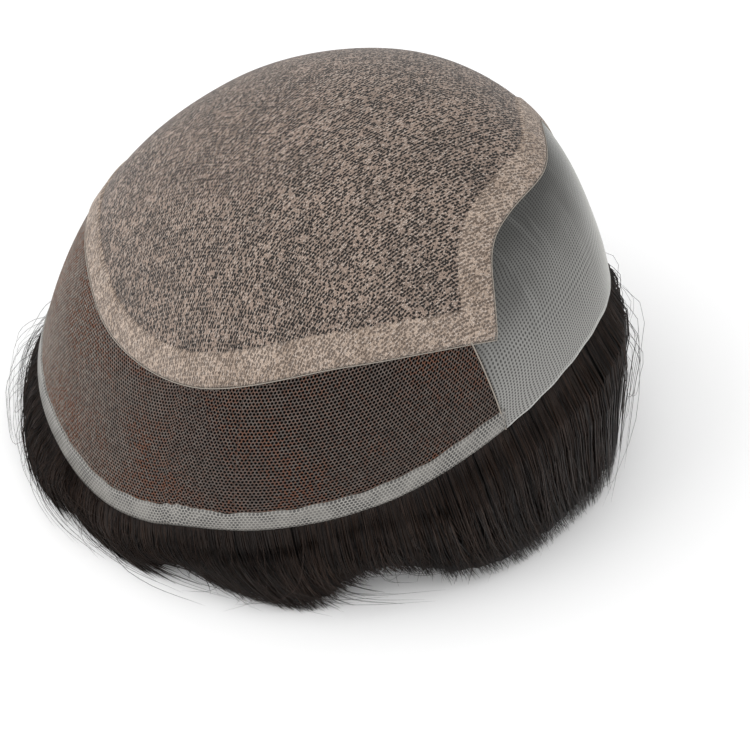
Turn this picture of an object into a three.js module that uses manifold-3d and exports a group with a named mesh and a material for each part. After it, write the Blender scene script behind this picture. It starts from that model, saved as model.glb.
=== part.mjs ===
// A toupee hairpiece turned inside out: the scalp side of its base is the dome on top,
// and its hair hangs from the hollow side down to the surface that it stands on.
// Millimetres, +Z up, front hairline towards -Y, origin under the middle on the surface.

import * as THREE from 'three';
import { mergeVertices } from 'three/addons/utils/BufferGeometryUtils.js';
import Module from 'manifold-3d';

const wasm = await Module();
wasm.setup();

// Form of the base
const BASE_WIDTH = 154;
const FRONT_REACH = 96;
const BACK_REACH = 102;
const CROWN_HEIGHT = 80;
const STANDING_HEIGHT = 32;
const BACKWARD_TILT = 33;
const CROWN_SHIFT = 16;
const PLAN_POWER = 1.8;
const RISE_POWER = 1.21;
const RISE_POWER_CHANGE = 0.4;

// Walls, strips and clearances
const SILK_WALL = 1.4;
const HEM_WALL = 1.8;
const LACE_WALL = 1.0;
const BAND_WALL = 1.3;
const SEAM_WALL = 1.5;
const HEM_PROUD = 0.4;
const HEM_WIDTH = 10;
const BAND_WIDTH = 7.5;
const SEAM_WIDTH = 2.2;
const GAP = 0.3;
const LOCK_GAP = 0.8;

// Angles round the base, in degrees from the front
const CORNER_ANGLE = 26.5;
const SEAM_ANGLE = 31;

// Hair
const LINING_WALL = 8;
const LOCK_BULGE = 8;
const LOCK_WIDTH = 28;
const LOCK_THICKNESS = 9;
const LOCK_CURL = 0.35;
const LOCK_ROOT = 14;

// Rim of the base: how far it lies from the crown's axis, in degrees, by angle round the base
const RIM_ROWS = [
  { around: 0, down: 99.7 },
  { around: 30, down: 101.8 },
  { around: 60, down: 103.1 },
  { around: 90, down: 97.6 },
  { around: 120, down: 83.9 },
  { around: 150, down: 65.0 },
  { around: 180, down: 55.3 },
];

// Outer edge of the silk along the sides and back, from its front corner
const SILK_SIDE_ROWS = [
  { around: CORNER_ANGLE, down: 87.4 },
  { around: 45, down: 76.8 },
  { around: 60, down: 69.3 },
  { around: 90, down: 58.8 },
  { around: 120, down: 46.1 },
  { around: 150, down: 33.6 },
  { around: 180, down: 29.2 },
];

// Outer edge of the silk along the front, hollowed between its two corners
const SILK_FRONT_ROWS = [
  { around: 0, down: 73.3 },
  { around: 13, down: 71.9 },
  { around: 20, down: 74.9 },
  { around: CORNER_ANGLE, down: 87.4 },
];

// Locks of hair, from the front round the near side and back again. Width and bulge are shares of
// LOCK_WIDTH and LOCK_BULGE, curl is a share of LOCK_CURL, which is itself a share of the lock's drop,
// drift is how far round the base the tip swings, in degrees, and lift is the tip's height as a share
// of STANDING_HEIGHT.
const LOCKS = [
  { around: 8, width: 0.9, bulge: 0.7, curl: 0.4, drift: -9, lift: 0 },
  { around: 22, width: 1.0, bulge: 0.8, curl: 0.3, drift: -9, lift: 0 },
  { around: 36, width: 0.9, bulge: 0.6, curl: 0.5, drift: -8, lift: 0.12 },
  { around: 50, width: 1.0, bulge: 0.6, curl: 0.6, drift: -9, lift: 0 },
  { around: 63, width: 1.0, bulge: 0.7, curl: 0.7, drift: -10, lift: 0.15 },
  { around: 76, width: 1.1, bulge: 0.8, curl: 0.2, drift: -10, lift: 0 },
  { around: 88, width: 1.1, bulge: 0.8, curl: 0.2, drift: -14, lift: 0 },
  { around: 99, width: 0.9, bulge: 0.6, curl: 0.9, drift: -12, lift: 0.3 },
  { around: 112, width: 0.9, bulge: 0.5, curl: 1.0, drift: -12, lift: 0.35 },
  { around: 124, width: 1.2, bulge: 0.8, curl: 0.5, drift: -15, lift: 0 },
  { around: 137, width: 1.0, bulge: 0.9, curl: 0.6, drift: -16, lift: 0.1 },
  { around: 150, width: 1.1, bulge: 1.0, curl: 0.5, drift: -16, lift: 0 },
  { around: 163, width: 1.0, bulge: 1.0, curl: 0.6, drift: -15, lift: 0.12 },
  { around: 176, width: 1.1, bulge: 1.0, curl: 0.5, drift: -14, lift: 0 },
  { around: 190, width: 1.0, bulge: 0.9, curl: 0.6, drift: 12, lift: 0.1 },
  { around: 204, width: 1.1, bulge: 0.9, curl: 0.5, drift: 14, lift: 0 },
  { around: 218, width: 1.0, bulge: 0.9, curl: 0.7, drift: 14, lift: 0.15 },
  { around: 232, width: 1.1, bulge: 0.8, curl: 0.5, drift: 13, lift: 0 },
  { around: 246, width: 1.0, bulge: 0.7, curl: 0.8, drift: 12, lift: 0.2 },
  { around: 259, width: 1.1, bulge: 0.7, curl: 0.4, drift: 11, lift: 0 },
  { around: 272, width: 1.0, bulge: 0.6, curl: 0.7, drift: 10, lift: 0.15 },
  { around: 285, width: 1.1, bulge: 0.7, curl: 0.4, drift: 9, lift: 0 },
  { around: 298, width: 1.0, bulge: 0.6, curl: 0.8, drift: 8, lift: 0.12 },
  { around: 312, width: 1.0, bulge: 0.7, curl: 0.4, drift: 6, lift: 0 },
  { around: 326, width: 1.0, bulge: 0.7, curl: 0.6, drift: -4, lift: 0.1 },
  { around: 340, width: 1.1, bulge: 0.8, curl: 0.4, drift: -7, lift: 0 },
  { around: 354, width: 1.0, bulge: 0.8, curl: 0.5, drift: -8, lift: 0 },
];

// How a lock narrows and thins from its root to its tip
const LOCK_TAPER = [
  { along: 0, width: 0.8, thickness: 0.7 },
  { along: 0.3, width: 1.0, thickness: 1.0 },
  { along: 0.6, width: 0.95, thickness: 1.05 },
  { along: 0.85, width: 0.65, thickness: 0.8 },
  { along: 1, width: 0.3, thickness: 0.45 },
];

// Steps of the faceted surfaces
const FRONT_STEPS = 4;
const SIDE_STEPS = 17;
const SILK_STEPS = 6;
const LACE_STEPS = 5;
const LOCK_SIDES = 8;
const LOCK_STEPS = 7;
const FRONT_SAMPLES = 40;
const SIDE_SAMPLES = 160;
const SEARCH_ANGLE = 30;
const SEARCH_ROUNDS = 20;
const NORMAL_STEP = 0.4;
const SAME_PLACE = 0.001;

// Blocks that only cut the hair: how far they reach beyond what they cut
const ROOM_OUTSIDE = 20;
const ROOM_INSIDE = 1;
const FLOOR_SIZE = 500;
const SHORTEST_EDGE = 0.02;

const radians = THREE.MathUtils.degToRad;
const folded = (around) => Math.abs(THREE.MathUtils.euclideanModulo(around + 180, 360) - 180);

function share(from, to, steps) {
  return Array.from({ length: steps + 1 }, (_, index) => from + ((to - from) * index) / steps);
}

// Smooth value of a column at any angle, the same left and right
function valueAt(rows, column, around) {
  const fold = folded(around);
  let index = 0;
  while (index < rows.length - 2 && fold > rows[index + 1].around) index += 1;
  const slopeAt = (row) => {
    if (rows[row].around === 0 || rows[row].around === 180) return 0;
    const before = rows[Math.max(row - 1, 0)];
    const after = rows[Math.min(row + 1, rows.length - 1)];
    return (after[column] - before[column]) / (after.around - before.around);
  };
  const from = rows[index];
  const to = rows[index + 1];
  const span = to.around - from.around;
  const t = THREE.MathUtils.clamp((fold - from.around) / span, 0, 1);
  const pull = slopeAt(index) * t * (1 - t) ** 2 - slopeAt(index + 1) * t ** 2 * (1 - t);
  return THREE.MathUtils.lerp(from[column], to[column], t * t * (3 - 2 * t)) + span * pull;
}

const rimDown = (around) => valueAt(RIM_ROWS, 'down', around);

function silkDown(around) {
  const rows = folded(around) < CORNER_ANGLE ? SILK_FRONT_ROWS : SILK_SIDE_ROWS;
  return valueAt(rows, 'down', around);
}

// A point of the scalp side, from its angle round the base and its angle down from the crown's axis
function scalpPoint(around, down) {
  const side = Math.sin(radians(around));
  const ahead = Math.cos(radians(around));
  const reach = ahead > 0 ? FRONT_REACH : BACK_REACH;
  const spread = Math.abs((2 * side) / BASE_WIDTH) ** PLAN_POWER + Math.abs(ahead / reach) ** PLAN_POWER;
  const radius = Math.sin(radians(down)) / spread ** (1 / PLAN_POWER);
  const cosine = Math.cos(radians(down));
  const rise = Math.sign(cosine) * Math.abs(cosine) ** (RISE_POWER - RISE_POWER_CHANGE * ahead);
  const point = new THREE.Vector3(-radius * side, -radius * ahead - CROWN_SHIFT * rise, CROWN_HEIGHT * rise);
  point.applyAxisAngle(new THREE.Vector3(1, 0, 0), -radians(BACKWARD_TILT));
  point.z += STANDING_HEIGHT;
  return point;
}

// Outward normal of the scalp side, found on a flat chart that has no pole
function scalpNormal(around, down) {
  const chart = (east, north) => {
    const x = down * Math.sin(radians(around)) + east;
    const y = down * Math.cos(radians(around)) + north;
    return scalpPoint(THREE.MathUtils.radToDeg(Math.atan2(x, y)), Math.hypot(x, y));
  };
  const across = chart(NORMAL_STEP, 0).sub(chart(-NORMAL_STEP, 0));
  const along = chart(0, NORMAL_STEP).sub(chart(0, -NORMAL_STEP));
  return across.cross(along).normalize();
}

// A point at a depth below the scalp side, towards the hollow
function basePoint(around, down, depth) {
  return scalpPoint(around, down).addScaledVector(scalpNormal(around, down), -depth);
}

// Angle down of the point that lies a set distance from another, up towards the crown or down past it
function downAt(around, down, distance, direction) {
  const from = scalpPoint(around, down);
  let near = down;
  let far = down + direction * SEARCH_ANGLE;
  for (let round = 0; round < SEARCH_ROUNDS; round += 1) {
    const middle = (near + far) / 2;
    if (scalpPoint(around, middle).distanceTo(from) < distance) near = middle;
    else far = middle;
  }
  return far;
}
const above = (around, down, distance) => downAt(around, down, distance, -1);
const beyond = (around, down, distance) => downAt(around, down, distance, 1);

// Degrees round the base that cover a length of the surface
function turnFor(length, around, down) {
  return length / scalpPoint(around + 0.5, down).distanceTo(scalpPoint(around - 0.5, down));
}

// Outer edge of the silk as a closed run of points
const silkEdge = [
  ...share(-CORNER_ANGLE, CORNER_ANGLE, FRONT_SAMPLES),
  ...share(CORNER_ANGLE, 360 - CORNER_ANGLE, SIDE_SAMPLES).slice(1, -1),
].map((around) => scalpPoint(around, silkDown(around)));

function distanceToSilkEdge(point) {
  const nearest = new THREE.Vector3();
  let best = Infinity;
  silkEdge.forEach((start, index) => {
    const piece = new THREE.Line3(start, silkEdge[(index + 1) % silkEdge.length]);
    piece.closestPointToPoint(point, true, nearest);
    best = Math.min(best, nearest.distanceTo(point));
  });
  return best;
}

// Angle down at which the surface lies a set distance from the silk's edge, inside or outside it
function downFromSilkEdge(around, distance, limit) {
  let near = silkDown(around);
  let far = limit;
  for (let round = 0; round < SEARCH_ROUNDS; round += 1) {
    const middle = (near + far) / 2;
    if (distanceToSilkEdge(scalpPoint(around, middle)) < distance) near = middle;
    else far = middle;
  }
  return far;
}

// Angles round the base where the surfaces have a row of corners
const seamSide = turnFor(SEAM_WIDTH / 2, SEAM_ANGLE, rimDown(SEAM_ANGLE));
const seamRoom = turnFor(SEAM_WIDTH / 2 + GAP, SEAM_ANGLE, rimDown(SEAM_ANGLE));
const NEAR_FRONT = [...share(0, CORNER_ANGLE, FRONT_STEPS), SEAM_ANGLE - seamRoom];
const NEAR_SIDE = share(SEAM_ANGLE + seamRoom, 180, SIDE_STEPS);
const mirrored = (angles) => angles.map((around) => 360 - around).reverse();
const FRONT_ANGLES = [...mirrored(NEAR_FRONT), ...NEAR_FRONT.slice(1)];
const SIDE_ANGLES = [...NEAR_SIDE, ...mirrored(NEAR_SIDE).slice(1)];
const NEAR_SEAM = [SEAM_ANGLE - seamSide, SEAM_ANGLE + seamSide];
const FAR_SEAM = mirrored(NEAR_SEAM);
const ALL_AROUND = [...NEAR_FRONT, ...SIDE_ANGLES, ...mirrored(NEAR_FRONT).slice(0, -1)];

// Angles down of the base's edges at one angle round it, from the crown to the rim
const edgeLevels = new Map();
function levelsAt(around) {
  if (edgeLevels.has(around)) return edgeLevels.get(around);
  const silk = silkDown(around);
  const rim = rimDown(around);
  const hem = downFromSilkEdge(around, HEM_WIDTH, 0);
  const levels = {
    silk,
    rim,
    hem,
    field: above(around, hem, GAP),
    laceStart: downFromSilkEdge(around, GAP, rim),
    laceEnd: above(around, rim, BAND_WIDTH + GAP),
    band: above(around, rim, BAND_WIDTH),
    clear: beyond(around, rim, LOCK_GAP),
  };
  edgeLevels.set(around, levels);
  return levels;
}

// Rows of corners of each strip
const silkRows = (level) => share(0, level.field, SILK_STEPS);
const hemRows = (level) => [level.hem, level.silk];
const laceRows = (level) => share(level.laceStart, level.laceEnd, LACE_STEPS);
const bandRows = (level) => [level.band, level.rim];
const frontRows = (level) => [...laceRows(level), level.rim];
const liningRows = (level) => [...silkRows(level), level.silk, ...laceRows(level).slice(1), level.rim];
const clearRows = (level) => [...liningRows(level).slice(0, -1), level.clear];

function signedVolume(geometry) {
  const at = geometry.getAttribute('position');
  const corners = [new THREE.Vector3(), new THREE.Vector3(), new THREE.Vector3()];
  let volume = 0;
  for (let index = 0; index < geometry.index.count; index += 3) {
    corners.forEach((corner, side) => corner.fromBufferAttribute(at, geometry.index.getX(index + side)));
    volume += corners[0].dot(corners[1].clone().cross(corners[2])) / 6;
  }
  return volume;
}

// A closed body with shared corners, no empty triangles and its faces pointing out
function closedBody(source) {
  const bare = new THREE.BufferGeometry();
  bare.setAttribute('position', source.getAttribute('position'));
  bare.setIndex(source.index);
  const merged = mergeVertices(bare, SAME_PLACE);
  const kept = [];
  for (let index = 0; index < merged.index.count; index += 3) {
    const corner = [0, 1, 2].map((side) => merged.index.getX(index + side));
    if (new Set(corner).size === 3) kept.push(corner);
  }
  merged.setIndex(kept.flat());
  if (signedVolume(merged) < 0) merged.setIndex(kept.map(([a, b, c]) => [a, c, b]).flat());
  return merged;
}

// Moves every corner of a geometry to the place that a function gives it
function bend(geometry, place) {
  const at = geometry.getAttribute('position');
  const uv = geometry.getAttribute('uv');
  const corner = new THREE.Vector3();
  for (let index = 0; index < at.count; index += 1) {
    corner.fromBufferAttribute(at, index);
    const moved = place(corner, uv.getX(index));
    at.setXYZ(index, moved.x, moved.y, moved.z);
  }
  return closedBody(geometry);
}

// A wall over part of the way round, with its outer and inner faces at two depths
function openWall(angles, rowsAt, outer, inner) {
  const rows = angles.map((around) => rowsAt(levelsAt(around)));
  const wide = angles.length - 1;
  const high = rows[0].length - 1;
  const block = new THREE.BoxGeometry(wide, high, 1, wide, high, 1);
  return bend(block, (corner) => {
    const column = Math.round(corner.x + wide / 2);
    const row = Math.round(corner.y + high / 2);
    return basePoint(angles[column], rows[column][row], corner.z > 0 ? outer : inner);
  });
}

// A wall all the way round, closed over the crown or left as a ring. The face named first has its
// facets cut the same way as the inner face of an open wall, so that faces that meet run parallel.
function closedWall(rowsAt, first, second) {
  const rows = ALL_AROUND.map((around) => rowsAt(levelsAt(around)));
  const start = rows[0][0] === 0 ? 0 : 1;
  const radii = rows[0].map((_, row) => row + start);
  const profile = radii.map((radius) => new THREE.Vector2(radius, first));
  profile.push(...radii.toReversed().map((radius) => new THREE.Vector2(radius, second)));
  if (start === 1) profile.push(profile[0].clone());
  const turned = new THREE.LatheGeometry(profile, ALL_AROUND.length);
  return bend(turned, (corner, turn) => {
    const column = Math.round(turn * ALL_AROUND.length) % ALL_AROUND.length;
    const row = Math.round(Math.hypot(corner.x, corner.z)) - start;
    return basePoint(ALL_AROUND[column], rows[column][row], corner.y);
  });
}

function toSolid(geometry) {
  const vertProperties = new Float32Array(geometry.getAttribute('position').array);
  const triVerts = new Uint32Array(geometry.index.array);
  return new wasm.Manifold(new wasm.Mesh({ numProp: 3, vertProperties, triVerts }));
}

// Sets of numbers that are joined pair by pair
function joinedSets(count) {
  const parent = Array.from({ length: count }, (_, index) => index);
  const find = (index) => {
    let top = index;
    while (parent[top] !== top) {
      parent[top] = parent[parent[top]];
      top = parent[top];
    }
    return top;
  };
  const join = (one, other) => {
    parent[find(one)] = find(other);
  };
  return { find, join };
}

// A joined or cut solid as a geometry. The two ends of a very short edge become one corner, and
// only the outer skin is kept, so a hollow that locks close off between them is filled.
function toGeometry(solid) {
  const { vertProperties, triVerts } = solid.getMesh();
  const corners = new THREE.BufferAttribute(vertProperties, 3);
  const [start, end] = [new THREE.Vector3(), new THREE.Vector3()];
  const places = joinedSets(corners.count);
  triVerts.forEach((corner, index) => {
    const next = triVerts[index % 3 === 2 ? index - 2 : index + 1];
    start.fromBufferAttribute(corners, corner);
    end.fromBufferAttribute(corners, next);
    if (start.distanceTo(end) < SHORTEST_EDGE) places.join(corner, next);
  });
  const faces = new Map();
  for (let index = 0; index < triVerts.length; index += 3) {
    const face = [0, 1, 2].map((side) => places.find(triVerts[index + side]));
    if (new Set(face).size < 3) continue;
    // Two faces on the same three corners are back to back and leave nothing between them
    const name = face.toSorted((a, b) => a - b).join(' ');
    if (!faces.delete(name)) faces.set(name, face);
  }
  const skins = joinedSets(corners.count);
  faces.forEach(([a, b, c]) => {
    skins.join(a, b);
    skins.join(b, c);
  });
  const bySkin = Map.groupBy(faces.values(), ([corner]) => skins.find(corner));
  const geometries = [...bySkin.values()].map((skin) => {
    const geometry = new THREE.BufferGeometry();
    geometry.setAttribute('position', corners);
    geometry.setIndex(skin.flat());
    return geometry;
  });
  return geometries.reduce((outer, skin) => (signedVolume(skin) > signedVolume(outer) ? skin : outer));
}

// The hair begins under the thickest wall of the base
const HAIR_DEPTH = Math.max(SILK_WALL, HEM_WALL - HEM_PROUD, LACE_WALL, BAND_WALL, SEAM_WALL) + GAP;

// Middle line of a lock: out of the lining, past the rim, out in a belly and down to its tip
function lockPath(lock) {
  const depth = HAIR_DEPTH + LINING_WALL / 2;
  const rim = rimDown(lock.around);
  const root = basePoint(lock.around, above(lock.around, rim, LOCK_ROOT), depth);
  const edge = basePoint(lock.around, rim, depth);
  const tipAround = lock.around + lock.drift;
  const outward = scalpNormal(tipAround, rim).setZ(0).normalize();
  const bulge = lock.bulge * LOCK_BULGE - LOCK_THICKNESS / 2;
  const belly = scalpPoint(lock.around + lock.drift / 2, rim).addScaledVector(outward, bulge);
  belly.z = edge.z / 2;
  const tip = scalpPoint(tipAround, rimDown(tipAround));
  tip.addScaledVector(outward, bulge - lock.curl * LOCK_CURL * edge.z);
  tip.z = lock.lift * STANDING_HEIGHT;
  return new THREE.CatmullRomCurve3([root, edge, belly, tip]);
}

function taperAt(column, along) {
  const index = Math.max(LOCK_TAPER.findIndex((row) => row.along >= along), 1);
  const [from, to] = [LOCK_TAPER[index - 1], LOCK_TAPER[index]];
  return THREE.MathUtils.mapLinear(along, from.along, to.along, from[column], to[column]);
}

function lockBody(lock) {
  const path = lockPath(lock);
  const normal = scalpNormal(lock.around, rimDown(lock.around)).setZ(0).normalize();
  const round = new THREE.CylinderGeometry(1, 1, 1, LOCK_SIDES, LOCK_STEPS);
  return bend(round, (corner) => {
    const along = 0.5 - corner.y;
    const side = new THREE.Vector3().crossVectors(path.getTangentAt(along), normal).normalize();
    const thick = new THREE.Vector3().crossVectors(side, path.getTangentAt(along));
    const width = (LOCK_WIDTH * lock.width * taperAt('width', along)) / 2;
    const thickness = (LOCK_THICKNESS * taperAt('thickness', along)) / 2;
    return path.getPointAt(along)
      .addScaledVector(side, corner.x * width)
      .addScaledVector(thick, corner.z * thickness);
  });
}

// Lining and locks in one, clear of the base and cut level at the surface that it stands on
function hairBody() {
  const locks = LOCKS.map((lock) => toSolid(lockBody(lock))).reduce((all, lock) => all.add(lock));
  const aboveBase = toSolid(closedWall(clearRows, -ROOM_OUTSIDE, HAIR_DEPTH + ROOM_INSIDE));
  const lining = toSolid(closedWall(liningRows, HAIR_DEPTH, HAIR_DEPTH + LINING_WALL));
  const block = new THREE.BoxGeometry(FLOOR_SIZE, FLOOR_SIZE, FLOOR_SIZE);
  const belowFloor = toSolid(closedBody(block.translate(0, 0, -FLOOR_SIZE / 2)));
  return toGeometry(locks.subtract(aboveBase).add(lining).subtract(belowFloor));
}

const hairpiece = new THREE.Group();

function addPiece(name, geometry, material) {
  const mesh = new THREE.Mesh(geometry, new THREE.MeshStandardMaterial({ metalness: 0, ...material }));
  mesh.name = name;
  hairpiece.add(mesh);
}

const SILK_LOOK = { color: 0xb4a08f, roughness: 0.75 };
const HEM_LOOK = { color: 0xc3b09e, roughness: 0.7 };
const FINE_LACE_LOOK = { color: 0x8a8a87, roughness: 0.8 };
const NET_LOOK = { color: 0x5a4f49, roughness: 0.85 };
const COATING_LOOK = { color: 0xbebeb9, roughness: 0.3 };
const THREAD_LOOK = { color: 0xb0aeaa, roughness: 0.6 };
const HAIR_LOOK = { color: 0x1a1512, roughness: 0.4 };

addPiece('silk_top', closedWall(silkRows, SILK_WALL, 0), SILK_LOOK);
addPiece('silk_hem', closedWall(hemRows, HEM_WALL - HEM_PROUD, -HEM_PROUD), HEM_LOOK);
addPiece('front_lace', openWall(FRONT_ANGLES, frontRows, 0, LACE_WALL), FINE_LACE_LOOK);
addPiece('side_lace', openWall(SIDE_ANGLES, laceRows, 0, LACE_WALL), NET_LOOK);
addPiece('perimeter_band', openWall(SIDE_ANGLES, bandRows, 0, BAND_WALL), COATING_LOOK);
addPiece('seam_left', openWall(NEAR_SEAM, frontRows, 0, SEAM_WALL), THREAD_LOOK);
addPiece('seam_right', openWall(FAR_SEAM, frontRows, 0, SEAM_WALL), THREAD_LOOK);
addPiece('hair', hairBody(), HAIR_LOOK);

// The origin goes under the middle of the whole piece
const extent = new THREE.Box3().setFromObject(hairpiece).getCenter(new THREE.Vector3());
hairpiece.position.set(-extent.x, -extent.y, 0);

export default hairpiece;
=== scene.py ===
import math

import bmesh
import bpy
import numpy as np
from mathutils import Matrix, Vector


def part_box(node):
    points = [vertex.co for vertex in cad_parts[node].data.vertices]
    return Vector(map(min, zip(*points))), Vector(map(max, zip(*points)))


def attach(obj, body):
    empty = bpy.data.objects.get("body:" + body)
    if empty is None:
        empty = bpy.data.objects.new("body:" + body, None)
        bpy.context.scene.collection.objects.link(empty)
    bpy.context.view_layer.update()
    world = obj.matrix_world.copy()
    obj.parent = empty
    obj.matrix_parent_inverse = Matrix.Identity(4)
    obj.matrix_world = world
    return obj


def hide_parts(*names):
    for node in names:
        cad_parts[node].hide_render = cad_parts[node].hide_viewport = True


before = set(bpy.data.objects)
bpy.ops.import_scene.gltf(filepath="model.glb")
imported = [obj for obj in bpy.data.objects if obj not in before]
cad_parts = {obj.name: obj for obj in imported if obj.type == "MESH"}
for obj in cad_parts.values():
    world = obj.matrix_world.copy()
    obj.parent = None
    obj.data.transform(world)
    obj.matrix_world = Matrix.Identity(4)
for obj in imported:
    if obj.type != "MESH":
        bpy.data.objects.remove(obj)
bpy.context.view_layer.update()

# Lengths are in millimetres and angles in degrees until a mesh is finished.
METRES = 0.001

# Form of the scalp side, as the CAD model has it
BASE_WIDTH = 154.0
FRONT_REACH = 96.0
BACK_REACH = 102.0
CROWN_HEIGHT = 80.0
STANDING_HEIGHT = 32.0
BACKWARD_TILT = 33.0
CROWN_SHIFT = 16.0
PLAN_POWER = 1.8
RISE_POWER = 1.21
RISE_POWER_CHANGE = 0.4
CORNER_ANGLE = 26.5
SEAM_ANGLE = 31.0
HEM_WIDTH = 10.0
BAND_WIDTH = 7.5
LINING_DEPTH = 2.1
LINING_WALL = 8.0

# Edges: angle round the base from the front, and degrees down from the crown
RIM_ROWS = [(0, 99.7), (30, 101.8), (60, 103.1), (90, 97.6), (120, 83.9), (150, 65.0), (180, 55.3)]
SILK_SIDE_ROWS = [
    (26.5, 87.4), (45, 76.8), (60, 69.3), (90, 58.8), (120, 46.1), (150, 33.6), (180, 29.2),
]
SILK_FRONT_ROWS = [(0, 73.3), (13, 71.9), (20, 74.9), (26.5, 87.4)]

# Camera that the photograph was matched with
CAMERA_TURN = -73.5026
CAMERA_RISE = 41.9096
CAMERA_DISTANCE = 939.68
FOCAL_PIXELS = 3214.08
FRAME_PIXELS = 750.0
SENSOR_WIDTH = 36.0
AXIS_RIGHT = 311.6
AXIS_DOWN = 335.06

RANDOM_SEED = 4115
rng = np.random.default_rng(RANDOM_SEED)


# Scalp surface

def folded(around):
    """Angle from the front, the same left and right."""
    return np.abs((np.asarray(around, float) + 180) % 360 - 180)


def value_at(rows, around):
    """Smooth value through the rows, the same left and right."""
    fold = folded(around)
    at = np.array([row[0] for row in rows], float)
    value = np.array([row[1] for row in rows], float)
    slope = np.zeros(len(rows))
    for index in range(len(rows)):
        low, high = max(index - 1, 0), min(index + 1, len(rows) - 1)
        slope[index] = (value[high] - value[low]) / (at[high] - at[low])
    slope[(at == 0) | (at == 180)] = 0
    index = np.clip(np.searchsorted(at, fold) - 1, 0, len(rows) - 2)
    span = at[index + 1] - at[index]
    t = np.clip((fold - at[index]) / span, 0, 1)
    pull = slope[index] * t * (1 - t) ** 2 - slope[index + 1] * t**2 * (1 - t)
    ease = t * t * (3 - 2 * t)
    return value[index] * (1 - ease) + value[index + 1] * ease + span * pull


def rim_down(around):
    return value_at(RIM_ROWS, around)


def silk_down(around):
    at_front = folded(around) < CORNER_ANGLE
    return np.where(
        at_front, value_at(SILK_FRONT_ROWS, around), value_at(SILK_SIDE_ROWS, around)
    )


place_shift = np.zeros(3)


def scalp(around, down):
    """Points of the scalp side at angles round the base and down from the crown."""
    turn, drop = np.radians(around), np.radians(down)
    side, ahead = np.sin(turn), np.cos(turn)
    reach = np.where(ahead > 0, FRONT_REACH, BACK_REACH)
    spread = np.abs(2 * side / BASE_WIDTH) ** PLAN_POWER + np.abs(ahead / reach) ** PLAN_POWER
    radius = np.sin(drop) / spread ** (1 / PLAN_POWER)
    cosine = np.cos(drop)
    rise = np.sign(cosine) * np.abs(cosine) ** (RISE_POWER - RISE_POWER_CHANGE * ahead)
    x, y, z = -radius * side, -radius * ahead - CROWN_SHIFT * rise, CROWN_HEIGHT * rise
    level, plumb = math.cos(math.radians(BACKWARD_TILT)), math.sin(math.radians(BACKWARD_TILT))
    tilted = np.stack([x, y * level + z * plumb, z * level - y * plumb], -1)
    return tilted + np.array([0, 0, STANDING_HEIGHT]) + place_shift


# The CAD model sits centred on its own box, so its shift is read from two of its nodes.
FRONT_SAMPLES = 60
silk_low, silk_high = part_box("silk_top")
lace_low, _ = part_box("front_lace")
front_run = scalp(
    np.zeros(FRONT_SAMPLES), np.linspace(silk_down(0.0), rim_down(0.0), FRONT_SAMPLES)
)
place_shift[0] = (silk_low[0] + silk_high[0]) / 2 / METRES
place_shift[1] = lace_low[1] / METRES - front_run[:, 1].min()

# A flat chart of the surface: degrees down from the crown, laid out east and north
NORMAL_STEP = 0.4


def on_chart(east, north):
    return scalp(np.degrees(np.arctan2(east, north)), np.hypot(east, north))


def chart_slopes(east, north):
    across = on_chart(east + NORMAL_STEP, north) - on_chart(east - NORMAL_STEP, north)
    along = on_chart(east, north + NORMAL_STEP) - on_chart(east, north - NORMAL_STEP)
    return across / (2 * NORMAL_STEP), along / (2 * NORMAL_STEP)


def unit(vectors):
    return vectors / np.maximum(np.linalg.norm(vectors, axis=-1, keepdims=True), 1e-9)


def chart_point(east, north, depth):
    """A point at a depth below the surface, towards the hollow."""
    normal = unit(np.cross(*chart_slopes(east, north)))
    return on_chart(east, north) - normal * np.asarray(depth, float)[..., None]


def sunk(around, down, depth):
    """A point at angles round the base and down from the crown, at a depth below the surface."""
    turn = np.radians(around)
    depth = np.broadcast_to(depth, np.shape(down))
    return chart_point(down * np.sin(turn), down * np.cos(turn), depth)


def rim_point(around):
    return scalp(around, rim_down(around))


def rim_outward(around):
    """Level direction out of the rim."""
    down = rim_down(around)
    turn = np.radians(around)
    normal = np.cross(*chart_slopes(down * np.sin(turn), down * np.cos(turn)))
    normal[..., 2] = 0
    return unit(normal)


# Inner edge of the hem, a set distance inside the silk's edge
HALVINGS = 20
edge_angles = np.linspace(0, 360, 721)
edge_points = scalp(edge_angles, silk_down(edge_angles))
half_angles = np.linspace(0, 180, 361)


def distance_to_edge(points):
    return np.sqrt(((points[:, None] - edge_points[None]) ** 2).sum(-1).min(1))


def inside_edge(distance):
    """Degrees down to a line at a distance inside the silk's edge, found by halving."""
    low, high = np.zeros(len(half_angles)), silk_down(half_angles)
    for _ in range(HALVINGS):
        middle = (low + high) / 2
        closer = distance_to_edge(scalp(half_angles, middle)) < distance
        high = np.where(closer, middle, high)
        low = np.where(closer, low, middle)
    return low


hem_line = inside_edge(HEM_WIDTH)


def hem_down(around):
    return np.interp(folded(around), half_angles, hem_line)


# Strip between silk and rim, charted by lines that climb straight up from the rim. Each step of
# a line is one millimetre long.
CLIMB_STEPS = 80
MIDDLE_CLIMB = 22
climb_angles = np.linspace(-180, 180, 1441)
climb = np.zeros((len(climb_angles), CLIMB_STEPS + 1, 2))
climb[:, 0, 0] = rim_down(climb_angles) * np.sin(np.radians(climb_angles))
climb[:, 0, 1] = rim_down(climb_angles) * np.cos(np.radians(climb_angles))
for step in range(CLIMB_STEPS):
    across, along = chart_slopes(climb[:, step, 0], climb[:, step, 1])
    aa, ab, bb = (across**2).sum(1), (across * along).sum(1), (along**2).sum(1)
    whole = aa * bb - ab**2
    east = (bb * across[:, 2] - ab * along[:, 2]) / whole
    north = (aa * along[:, 2] - ab * across[:, 2]) / whole
    length = np.linalg.norm(across * east[:, None] + along * north[:, None], axis=1)
    climb[:, step + 1, 0] = climb[:, step, 0] + east / length
    climb[:, step + 1, 1] = climb[:, step, 1] + north / length


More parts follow.
